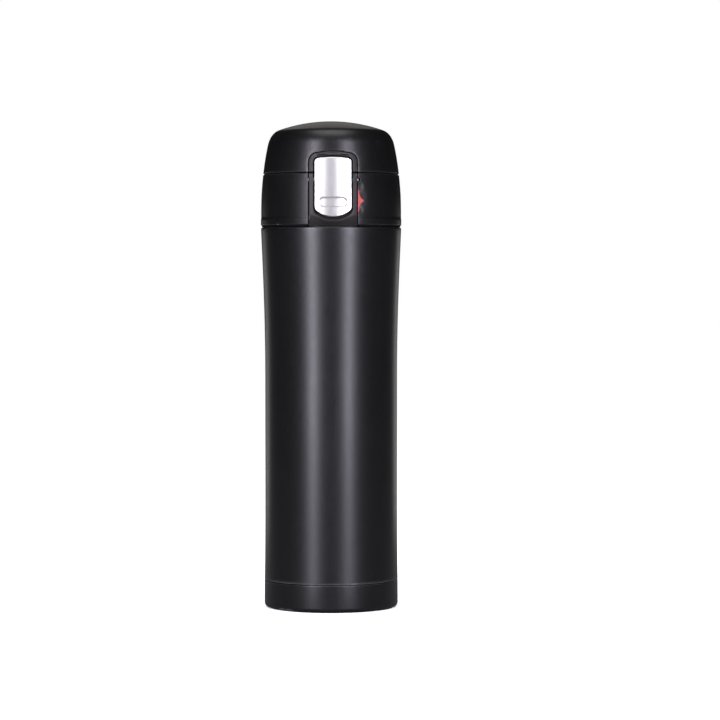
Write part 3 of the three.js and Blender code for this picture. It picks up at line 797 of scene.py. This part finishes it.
def make_flask():
    bead = turned((0, 4.1, 0), (1.7, 4.1, 0.7), (2.9, 4.8, 0.25), (2.9, 5.1, 0.05), (0, 5.1, 0), columns=48)
    pellet = turned((0, 6.3, 0), (5.3, 6.3, 0.5), (5.5, 8.4, 0.3), (3.6, 8.8, 0.3), (0, 8.6, 0), columns=64)
    piece("body_wall", body_wall(), PAINT, "flask", ["outer_shell"])
    piece("neck_sleeve", neck_sleeve(), SPUN, "flask", ["outer_shell"], sharp=60)
    piece("drink_vessel", inner_vessel(), SPUN, "flask", ["inner_vessel"])
    piece("bottom_disc", outer_bottom(), PRESSED, "flask", ["outer_bottom"])
    piece("seal_bead", bead, GETTER, "flask", ["evacuation_seal"])
    piece("getter_pellet", pellet, GETTER, "flask", ["getter"])
    piece("foil_wrap", foil(), COPPER, "flask", ["heat_foil"])
    piece("foot_cup", base_cup(), PAINT, "flask", ["base_cup"])


# ---- the lid unit's fixed parts ----

def circle(radius, centre=(0, 0), steps=48):
    return arc(centre, radius, 0, 360 - 360 / steps, steps - 1)


def notched_disc(radius, front_half, front_y, rear_half, rear_y):
    """A disc's outline, cut straight in front for the latch and behind for the hinge."""
    right = arc((0, 0), radius, -math.degrees(math.acos(front_half / radius)),
                math.degrees(math.acos(rear_half / radius)), 40)
    left = [(-x, y) for x, y in right[::-1]]
    notches = [[(half, y), (-half, y)] for half, y in ((rear_half, rear_y), (-front_half, front_y))]
    return right + notches[0] + left + notches[1]


def neck_gasket():
    """The silicone ring on the plug, with two lips that press on the mouth."""
    lip = MOUTH_R - 0.3
    return turned((19.8, 194.7, 0.2), (PLUG_R, 194.7, 0.2), (lip, 195.4, 0.3), (PLUG_R, 196.2, 0.3),
                  (lip, 197.0, 0.3), (PLUG_R, 198.3, 0.2), (19.8, 198.3, 0.2))


def deck():
    """The level plate inside the collar, with the drinking hole and the vent."""
    loops = [notched_disc(31.0, 12.0, -26.95, 13.4, 26.2), pill(6.5, 4, -11), circle(1.5, (0, 12.5), 24)]
    return plate(loops, in_plane(DECK_TOP), 2.0, rim=0.25, back_rim=0.1, spacing=1.5)


def spout():
    """The round drinking spout with its rolled lip, on a fillet."""
    outside = [(22.4, DECK_TOP - 0.3)] + bezier([(22.4, DECK_TOP - 0.02), (21.3, DECK_TOP), (21.0, 208.8)], 8)
    outside += bezier([(20.95, 209.1), (20.6, 212.5), (19.62, SPOUT_TOP - 1.6)], 10)
    lip = arc((18.6, SPOUT_TOP - 0.85), 0.85, 0, 180, 14)
    within = bezier([(17.72, SPOUT_TOP - 1.4), (17.9, 212.0), (18.2, 208.6)], 10) + [(17.9, DECK_TOP - 0.3)]
    return revolve(outside + lip + within)


def plug():
    """The plug that goes into the mouth, with the gasket's groove."""
    inner, groove, top = 17.9, 19.5, DECK_TOP - 1.8
    return turned((inner, 193, 0.3), (PLUG_R, 193, 0.4), (PLUG_R, 194.4, 0.15), (groove, 194.4, 0.1),
                  (groove, 198.6, 0.1), (PLUG_R, 198.6, 0.15), (PLUG_R, top, 0), (inner, top, 0))


def skirt():
    """The ring that screws onto the neck, with its thread inside."""
    inner, outer, low_end, top = 25.1, 26.6, 186, 205.7
    outline = [(inner, z) for z in np.arange(top, low_end + 0.2, -0.28)]
    outline += rounded([(inner, low_end + 0.2, 0), (inner, low_end, 0.15), (outer, low_end, 0.3),
                        (outer, top, 0)])[1:]
    return with_thread(revolve(outline), inner, 187.5, 0.85, -0.85, 1.35)


CHANNEL = (12.95, 191.3, 205.45, 0.5)  # reach, ends and depth of the lock slide's shallow channel
SCOOP = (11.9, 198.0, 4.9, 7.4, 0.2)  # centre, half sizes and depth of the dip for the thumb


def scoop(x, z):
    middle_x, middle_z, half_x, half_z, depth = SCOOP
    away = np.hypot((x - middle_x) / half_x, (z - middle_z) / half_z)
    return depth * (1 - smooth(away, 0.35, 1.0))


def channel(x, z):
    reach, lowest, highest, depth = CHANNEL
    inset = np.minimum(reach - x, np.minimum(z - lowest, highest - z))
    return depth * smooth(inset, 0, 0.14)


# Where rings inside the collar stop, in degrees from the front: beside the frame, and beside the hinge.
FRONT_EDGE = math.degrees(math.asin((FRAME_HALF + 1.0) / COLLAR_R))
HINGE_EDGE = 180 - math.degrees(math.asin((LUG_OUTER + 0.6) / COLLAR_R))


def ring_part(inner, outer, top, height, end):
    """Part of a flat ring, from the front's edge to an angle. Lips like this close the seams to light."""
    steps = round((end - FRONT_EDGE) / 2.5)
    start, end = FRONT_EDGE - 90, end - 90
    outline = arc((0, 0), outer, start, end, steps) + arc((0, 0), inner, end, start, steps)
    return plate([outline], in_plane(top), height, rim=0.12, spacing=1.3)


def collar():
    """The outer ring, open at the front for the button's frame and notched behind for the lid's hinge."""
    around, back = TURN * COLLAR_R, math.pi * COLLAR_R
    start = along(FRAME_HALF + 0.4)
    end = around - start
    slot, slot_low, slot_high = along(12.5), 192.9, 201.7  # the lock slide's web passes through here
    notch, notch_low = COLLAR_R * math.asin(LUG_INNER / cap_radius(206)), 202.2
    pin_notch = arc((start, PIVOT[1]), 1.05, 90, -90, 12)
    step = 188.8
    corners = [(start, RING_LOW, 0.3), (end, RING_LOW, 0.3), (end, COLLAR_TOP, 0.3),
               (back + notch, COLLAR_TOP, 0.4), (back + notch, notch_low, 0.8),
               (back - notch, notch_low, 0.8), (back - notch, COLLAR_TOP, 0.4), (start, COLLAR_TOP, 0.3)]
    corners += [(s, z, 0) for s, z in pin_notch]
    corners += [(start, slot_high, 0), (slot, slot_high, 0.15), (slot, slot_low, 0.15), (start, slot_low, 0)]

    def place(s, z, depth):
        x = COLLAR_R * np.sin(s / COLLAR_R)
        dip = np.where(s < back / 2, np.maximum(scoop(x, z), channel(x, z)), 0) * (1 - depth / WALL)
        recess = 0.15 * smooth(z, step - 0.15, step + 0.15) * (1 - smooth(z, step + 1, 203))
        return round_cap(s, z, depth + dip + recess)

    creases = [line(1.0, (start + 0.9, z), (end - 0.9, z)) for z in (step - 0.15, step + 0.15)]
    reach, lowest, highest, _ = CHANNEL
    for shift in (0, 0.14):
        near, far, top, bottom = start + 0.45, along(reach - shift), highest - shift, lowest + shift
        creases.append(line(0.5, (near, top), (far, top), (far, bottom), (near, bottom)))
    wall = plate([rounded(corners)], place, WALL, rim=0.25, back_rim=0.15, spacing=1.0, lines=creases)
    inside_r = cap_radius(COLLAR_TOP) - WALL
    lips = [ring_part(30.9, inside_r - 0.3, LID_LOW + 0.25, 2.4, HINGE_EDGE),
            ring_part(30.9, inside_r + 0.3, COLLAR_TOP - 1.0, 0.9, HINGE_EDGE)]
    foot = ring_part(30.6, COLLAR_R - WALL + 0.1, 187, 187 - SHOULDER - 0.25, 360 - FRONT_EDGE)
    return joined(wall, hinge_lug(-1), hinge_lug(1), *lips, foot, *map(mirrored, lips))


def seam_shade_rings():
    """Dead matt black rings on the collar that fill its gaps to the flask's shoulder and to the lid: painted
    shade, standing in for the shadow in these gaps.
    """
    low_top, top = RING_LOW + 0.5, LID_LOW - 0.2
    lower = ring_part(31.5, COLLAR_R - 0.45, low_top, low_top - SHOULDER - 0.22, 360 - FRONT_EDGE)
    upper = ring_part(31.6, cap_radius(COLLAR_TOP) - 0.5, top, top - COLLAR_TOP + 0.4, HINGE_EDGE)
    return joined(lower, upper, mirrored(upper))


def knuckle(outline, side, outer, inner, rim, back_rim):
    """A hinge knuckle between two places along X, bored for the pin."""
    bore = circle(PIN_BORE_R, HINGE, 24)
    return plate([outline, bore], upright(side * outer, side), outer - inner, rim, back_rim, spacing=0.8)


def hinge_lug(side):
    """One of the collar's two knuckles."""
    outline = [(31.6, 199.6), (32.1, 203.5)] + arc(HINGE, 3.2, 24, 180, 20)
    outline += [(27.6, 205), (28.4, 200.2), (29.5, 199)]
    return knuckle(outline, side, LUG_OUTER, LUG_INNER, 0.3, 0.2)


def window_bottom(x):
    """Height of the frame's window at x. It leaves a dark crescent under the button."""
    return bowl(x, WINDOW_HALF, WINDOW_LOW, WINDOW_SAG)


def frame_face():
    """The visible frame: a chamfer under the button, and a lower part that leans in."""
    window = button_outline(WINDOW_HALF, WINDOW_LOW, 224, 2, WINDOW_SAG)
    window = sorted((p for p in window if p[1] < COLLAR_TOP), key=lambda p: -p[0])
    outline = [(-FRAME_HALF, COLLAR_TOP, 0.15), (-FRAME_HALF, FRAME_LOW, 0.7), (FRAME_HALF, FRAME_LOW, 0.7),
               (FRAME_HALF, COLLAR_TOP, 0.15), (WINDOW_HALF, COLLAR_TOP, 0.15)]
    outline += [(x, z, 0) for x, z in window] + [(-WINDOW_HALF, COLLAR_TOP, 0.15)]
    lip = 1.1  # width of the chamfer
    tuck_top = 190.5  # below this height the face leans in
    thickness = 2.2

    def place(x, z, depth):
        below = window_bottom(x) - z
        chamfer = 0.7 * (1 - smooth(below, -0.5, lip + 0.3)) * (np.abs(x) < WINDOW_HALF) * (below > -0.6)
        chamfer = chamfer * (1 - smooth(np.abs(x), WINDOW_HALF - 1.4, WINDOW_HALF))
        tuck = 1.1 * np.clip((tuck_top - z) / (tuck_top - FRAME_LOW), 0, 1) ** 1.2
        return on_cap(x, z, depth + chamfer + tuck * (1 - depth / thickness))

    folds = [[(x, float(window_bottom(x)) - below) for x in np.linspace(-8.4, 8.4, 41)]
             for below in (lip - 0.4, lip, lip + 0.4)]
    return plate([rounded(outline)], place, thickness, rim=0.3, back_rim=0.1, spacing=0.6, lines=folds)


def cheek(side):
    """A side wall behind the frame, bored for the pivot. The right one has the lock arm's slot."""
    loops = [rectangle(-31.3, -27.4, 187, 209.8), circle(1.1, PIVOT, 20)]
    if side > 0:
        loops.append(rectangle(-29.75, -28.55, 192.9, 201.6))
    outer = FRAME_HALF - 0.3
    return plate(loops, upright(side * outer, side), outer - WINDOW_HALF, rim=0.15, spacing=0.8)


def latch_housing():
    """The insert round the button: its visible frame, two cheeks that carry the pivot, and a back wall."""
    back_wall = block((-FRAME_HALF + 0.3, FRAME_HALF - 2.1), (-28.4, -27.4), (187, 202))
    return joined(frame_face(), cheek(-1), cheek(1), back_wall)


def hinge_spring():
    """The torsion spring: a leg down inside the collar, five coils on the pin, and a leg up to the lid."""
    y, z = HINGE
    half, coil_r, turns = 4.2, 2.0, 5.25
    steps = int(turns * 24)
    leg = [(-half, y, 199), (-half, y + 1.3, 203.2), (-half, y + coil_r, z - 1.6), (-half, y + coil_r, z)]
    coil = []
    for k in range(steps + 1):
        angle = TURN * turns * k / steps
        coil.append((half * (2 * k / steps - 1), y + coil_r * math.cos(angle), z + coil_r * math.sin(angle)))
    tip = [coil[-1], (half, y - 1.4, z + coil_r), (half, y - 3.6, z + 2.3), (half, y - 5.4, z + 3.4)]
    return sweep(bezier(leg, 10) + coil[1:] + bezier(tip, 10)[1:], 0.35, 12)


def button_spring():
    """The coil that pushes the button's lower half out. Its end turns are closed."""
    turns, steps, coil_r = 5.0, 160, 1.8
    path = []
    for k in range(steps + 1):
        share = k / steps
        climb = 0.35 * float(smooth(share, 0, 1)) + 0.65 * share
        angle = TURN * turns * share
        path.append((coil_r * math.cos(angle), -28.98 - 3.4 * climb, 196 + coil_r * math.sin(angle)))
    return sweep(path, 0.25, 10)


def make_lid_base():
    piece("plug_gasket", neck_gasket(), SILICONE, "neck_seal", ["neck_gasket"], sharp=60)
    piece("spout_deck", joined(deck(), spout(), plug(), skirt()), INNER, "lid_base", ["mouthpiece"])
    piece("collar_ring", collar(), BLACK, "lid_base", ["collar"])
    # painted shade: dead matt black rings in the seams stand in for their shadow
    piece("seam_shade_rings", seam_shade_rings(), SEAM_SHADE, "lid_base", ["collar"])
    piece("button_frame", latch_housing(), FRAME, "lid_base", ["latch_housing"], sharp=50)
    piece("pivot_pin", rod_x(0.8, -12.1, 12.35, PIVOT, 0.35), WIRE, "lid_base", ["lever_pin"])
    piece("lid_pin", rod_x(1.1, -LUG_OUTER, LUG_OUTER, HINGE, 0.3), WIRE, "lid_base", ["hinge_pin"])
    return_coil = piece("return_coil", button_spring(), WIRE, "lid_base", ["button_spring"])
    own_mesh(return_coil)
    lid_coil = piece("lid_coil", hinge_spring(), WIRE, None, ["hinge_spring"])
    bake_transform(lid_coil)


# ---- the push button and the lock slide ----

def button_cover():
    """The bright plate, domed with the cap, with a pill-shaped dimple for the thumb."""
    half_x, half_z, middle = 6.8, 2.2, 196.3

    def place(x, z, depth):
        along_axis = np.maximum(np.abs(x) - (half_x - half_z), 0)
        away = np.hypot(along_axis, z - middle) - half_z  # from the dimple's edge, negative inside it
        dimple = 0.24 * (1 - smooth(away, -0.3, 0)) + 0.13 * (1 - smooth(np.abs(away), 0, 0.18))
        return on_cap(x, z, depth - 0.2 + dimple)

    rings = []
    for offset in (-0.3, -0.16, 0, 0.18):
        ring = pill(half_x + offset, half_z + offset, middle, 14)
        rings.append(line(0.3, *ring, ring[0]))
    outline = button_outline(BUTTON_HALF, BUTTON_LOW - 0.5, BUTTON_TOP - 0.2, 2.5, 3.6)
    return plate([outline], place, 1.2, rim=0.45, back_rim=0.1, spacing=0.5, lines=rings, steps=5)


def under_cap(start):
    """Places a plate under the cap's surface, its front face at that depth."""
    return lambda x, z, depth: on_cap(x, z, start + depth)


def latch_lever():
    """The rocking lever behind the plate: blade, pivot boss, bridge and hook."""
    blade = plate([button_outline(8.2, 191.4, 216.8, 1.5), circle(2.5, (0, 196), 28)], under_cap(1.35), 1.55,
                  rim=0.15, spacing=0.9)
    bridge = block((-8.2, 8.2), (-31.4, PIVOT[0]), (205.6, 208.2), 0.3)
    hook = block((-3.5, 3.5), (-31.2, -27.0), (213.9, 215.6), 0.35)
    return joined(blade, rod_x(2.0, -8.9, 8.9, PIVOT, 0.2), bridge, hook)


def lock_slider():
    """The red slide: a strip with a pointed thumb nub, on a web that passes through the collar."""
    inner = FRAME_HALF + 0.28
    nub = bezier([(12.6, 193.3), (12.8, 195.6), (14.0, 196.2)], 8)
    nub += bezier([(14.5, 196.45), (14.85, 197), (14.5, 197.55)], 6)
    nub += bezier([(14.0, 197.8), (12.8, 198.4), (12.6, 200.7)], 8)
    outline = [(inner, 191.7, 0.2), (12.5, 191.7, 0.25)] + [(x, z, 0) for x, z in nub]
    outline += [(12.5, 202.2, 0.25), (inner, 202.2, 0.2)]

    def place(x, z, depth):
        lift = 0.35 * smooth(x, 12.3, 13.4) * (1 - smooth(np.abs(z - 197), 2.0, 3.4))
        return on_cap(x, z, depth - 0.25 - lift)

    front = plate([rounded(outline)], place, 0.6, rim=0.2, back_rim=0.1, spacing=0.35)
    web = plate([rectangle(inner, 12.35, 193.3, 198.3)], under_cap(0.2), 3.2, rim=0.05, spacing=0.5)
    foot = plate([rectangle(12.0, 14.6, 193, 198.3)], under_cap(2.3), 1.1, 0.15, 0.15, spacing=0.6)
    return joined(front, web, foot)


def make_button():
    piece("button_plate", button_cover(), SILVER, "button", ["button_cover"], sharp=50)
    piece("button_lever", latch_lever(), INNER, "button", ["latch_lever"])
    piece("lock_tab", lock_slider(), RED, "lock", ["lock_slider"], sharp=50)
    bolt = block((8.4, 12.2), (-29.45, -28.85), (193.3, 197.3), 0.12)  # the arm that reaches beside the lever
    piece("lock_bolt", bolt, INNER, "lock", ["lock_slider"])


# ---- the flip lid ----
DOME_COLUMNS = 192


def dome(shrink):
    """The lid's shoulder and crown as an open sheet, shrunk inwards by a wall's thickness."""
    (r, z), (edge_r, edge_z) = CAP_SIDE[-1], CROWN_EDGE
    r, edge_r = r - shrink, edge_r - 0.3 * shrink
    shoulder = bezier([(r, z), (29.95 - shrink, z + 2.5 - 0.3 * shrink),
                       (28.3 - 0.8 * shrink, edge_z - 1 - 0.8 * shrink), (edge_r, edge_z - shrink)], 18)
    top_r = CROWN_R - shrink
    crown = arc((0, LID_TOP - CROWN_R), top_r, math.degrees(math.acos(edge_r / top_r)), 90, 16)[1:]
    return revolve(shoulder + crown[:-1] + [(0, crown[-1][1])], DOME_COLUMNS)


def lid_shell():
    """The lid's outer shell: a side with the arch cut out of it, the dome, and the two hinge ears."""
    back, half = math.pi * COLLAR_R, FRAME_HALF + 0.3
    top = CAP_SIDE[-1][1]
    hole = arch(half, 220.9, 5.6, LID_LOW)
    hole = [(along(x), z) for x, z in hole[1:] + hole[:1]]  # from the right foot over to the left
    rim_points = [(-back + TURN * COLLAR_R * k / DOME_COLUMNS, top) for k in range(DOME_COLUMNS + 1)]
    outline = [(-back, LID_LOW)] + hole[::-1] + [(back, LID_LOW)] + rim_points[::-1]

    def free(points):
        s, z = points.T
        return (z > top - 1e-6) | ((np.abs(s) > back - 1e-6) & (z > LID_LOW + 1e-6))

    def place(s, z, depth):
        return round_cap(s, z, depth, straight=1 - smooth(z, 221.6, 225.0))

    side = plate([outline], place, WALL, rim=0.22, back_rim=0.15, spacing=1.0, free=free)
    return joined(side, dome(0), dome(WALL), hinge_ear(-1), hinge_ear(1))


def hinge_ear(side):
    """One of the lid's two knuckles between the collar's lugs."""
    outline = arc(HINGE, 3.4, 180, 362, 24)
    outline += [(33.2, 212.6), (32.6, 214.3), (31.4, 214.6), (29.5, 214.2), (29.2, 210.4)]
    return knuckle(outline, side, LUG_INNER - 0.3, 4.9, 0.4, 0.4)


def lid_liner():
    """The liner inside the lid: a flange, the cup that holds the seal, and the strike for the hook."""
    flange_low = 211.4
    flange = plate([notched_disc(30.6, 12.2, -24.35, 10.2, 29.1), circle(23.6, steps=96)],
                   lambda x, y, depth: np.stack([x, y, flange_low + depth], 1), 1.6, rim=0.3, back_rim=0.1,
                   spacing=1.5)
    cup = turned((22.9, flange_low, 0.3), (24.25, flange_low + 0.1, 0), (24.3, 219.8, 0.5),
                 (23.1, 221.0, 0.5), (5.3, 221.0, 0.2), (5.3, 219.6, 0.2), (22.9, 219.6, 1.2))
    strike = block((-3.6, 3.6), (-26.7, -23.6), (212.2, 213.6), 0.3)
    return joined(flange, cup, strike)


def lid_bezel():
    """The arch of the button's frame that rides on the lid."""
    foot = LID_LOW + 0.1
    over = arch(FRAME_HALF, ARCH_TOP, 5.4, foot)
    under = arch(WINDOW_HALF, ARCH_TOP - 2, 3.1, foot)[1:] + [(-WINDOW_HALF, foot)]
    crown_z = ARCH_TOP - 2.3

    def place(x, z, depth):
        near = np.abs(x) < WINDOW_HALF - 2
        chamfer = 0.45 * (1 - smooth(z - crown_z, 0.3, 1.0)) * near * (z > crown_z - 1)
        return on_cap(x, z, depth + chamfer)

    return plate([over[1:] + over[:1] + under[::-1]], place, 2.2, rim=0.3, back_rim=0.1, spacing=0.6)


def seal_holder():
    """The disc on the liner's stud that holds the seal."""
    return turned((0, 216.6, 0), (14.5, 216.6, 0.4), (14.5, 218.6, 0.3), (5.0, 218.6, 0.2), (5.0, 221.3, 0.1),
                  (6.4, 221.3, 0.2), (6.0, 222.4, 0.3), (0, 222.4, 0), columns=144)


def spout_seal():
    """The silicone seal: a plug that dips into the spout and a thin lip that lies on its rim."""
    return turned((0, 214.3, 0), (6, 214.3, 0.3), (6.6, 214.7, 0.2), (7.4, 214.7, 0.2), (8, 214.3, 0.3),
                  (15.2, 214.3, 1.0), (16.4, 217.3, 0.8), (20.3, 217.3, 0.45), (20.3, 218.6, 0.4),
                  (17.0, 219.3, 0.4), (8.0, 219.3, 0.15), (8.0, 218.9, 0.1), (14.8, 218.9, 0.1),
                  (14.8, 216.3, 0.1), (0, 216.3, 0))


def make_lid():
    piece("flip_lid", lid_shell(), BLACK, "lid", ["lid_shell"])
    piece("lid_inner", lid_liner(), INNER, "lid", ["lid_liner"])
    piece("frame_arch", lid_bezel(), FRAME, "lid", ["lid_bezel"])
    piece("seal_disc", seal_holder(), INNER, "lid", ["seal_holder"])
    piece("spout_plug", spout_seal(), SILICONE, "lid", ["spout_seal"])


make_flask()
make_lid_base()
make_button()
make_lid()


# ---- the stage: floor, light and camera ----

def softbox(name, target, distance, azimuth, elevation, width, height, power, colour=(1, 1, 1)):
    """An area light aimed at a target. Azimuth 0 is in front, and it grows to the right."""
    data = bpy.data.lights.new(name, "AREA")
    data.shape = "RECTANGLE"
    data.size, data.size_y = width, height
    data.energy = power
    data.color = colour
    light = bpy.data.objects.new(name, data)
    bpy.context.scene.collection.objects.link(light)
    a, e = math.radians(azimuth), math.radians(elevation)
    way = Vector((math.sin(a) * math.cos(e), -math.cos(a) * math.cos(e), math.sin(e)))
    light.location = Vector(target) + way * distance
    light.rotation_euler = way.to_track_quat("Z", "Y").to_euler()


def pale_floor():
    """A pale floor that glows a little, except in reflections, where it is dark."""
    mesh = bpy.data.meshes.new("floor")
    mesh.from_pydata([(x, y, 0) for x, y in rectangle(-6, 6, -6, 6)], [], [(0, 1, 2, 3)])
    floor = bpy.data.objects.new("floor", mesh)
    bpy.context.scene.collection.objects.link(floor)
    finish = Finish("pale_floor", Specular_IOR_Level=0.1, Emission_Color=(1, 1, 1, 1))
    reflected = finish.node("ShaderNodeLightPath").outputs["Is Glossy Ray"]
    pale = finish.mix(finish.noise(3, 3), (.95, .95, .95), (.97, .97, .97))
    finish.link(finish.spread(reflected, 0.12, 0, 0, 1), "Emission Strength")
    tone = finish.mix(reflected, pale, (.125, .125, .125))
    mesh.materials.append(finish.finished(tone, (finish.noise(40), 0.7, 0.85)))


def backdrop():
    """White, except that it is dim in reflections, so that the lights shape the flask."""
    world = bpy.data.worlds.new("studio")
    bpy.context.scene.world = world
    world.use_nodes = True
    nodes, links = world.node_tree.nodes, world.node_tree.links
    nodes.clear()
    mixed = nodes.new("ShaderNodeMixShader")
    links.new(nodes.new("ShaderNodeLightPath").outputs["Is Glossy Ray"], mixed.inputs[0])
    for socket, colour, strength in ((1, (1, 1, 1, 1), 1.0), (2, (.95, .96, 1, 1), 0.018)):
        background = nodes.new("ShaderNodeBackground")
        background.inputs["Color"].default_value = colour
        background.inputs["Strength"].default_value = strength
        links.new(background.outputs[0], mixed.inputs[socket])
    links.new(mixed.outputs[0], nodes.new("ShaderNodeOutputWorld").inputs[0])


def lights():
    """Two tall keys for the streaks, two small rims from behind, one from above, and one for the crown."""
    middle, low_middle = (0, 0, 0.13), (0, 0, 0.095)
    softbox("key_left", middle, 1.1, -33, 12, 0.24, 1.0, 13.6, (.91, .88, 1))
    softbox("key_right", middle, 1.1, 28, 12, 0.24, 1.0, 12.3, (.89, .86, 1))
    softbox("rim_left", low_middle, 0.45, -145, 0, 0.13, 0.19, 0.062)
    softbox("rim_right", low_middle, 0.45, 145, 0, 0.13, 0.19, 0.066)
    softbox("top", middle, 1.2, 0, 80, 0.8, 0.8, 6)
    softbox("crown", middle, 1.3, 180, 32, 0.45, 0.5, 0.43, (1, .95, .90))


def camera():
    """A long lens at the height of the upper body, a little left of the button."""
    left, distance, height = 0.0412, 1.389, 0.1617
    down, aside = 1.71, 0.58  # degrees that it looks down, and past the flask's axis to the right
    data = bpy.data.cameras.new("camera")
    data.sensor_width = 36
    data.lens = 142.5
    eye = bpy.data.objects.new("camera", data)
    bpy.context.scene.collection.objects.link(eye)
    eye.location = (-left, -distance, height)
    eye.rotation_euler = (math.radians(90 - down), 0, -math.atan2(left, distance) - math.radians(aside))
    bpy.context.scene.camera = eye


bpy.context.scene.view_settings.view_transform = "Standard"
pale_floor()
backdrop()
lights()
camera()
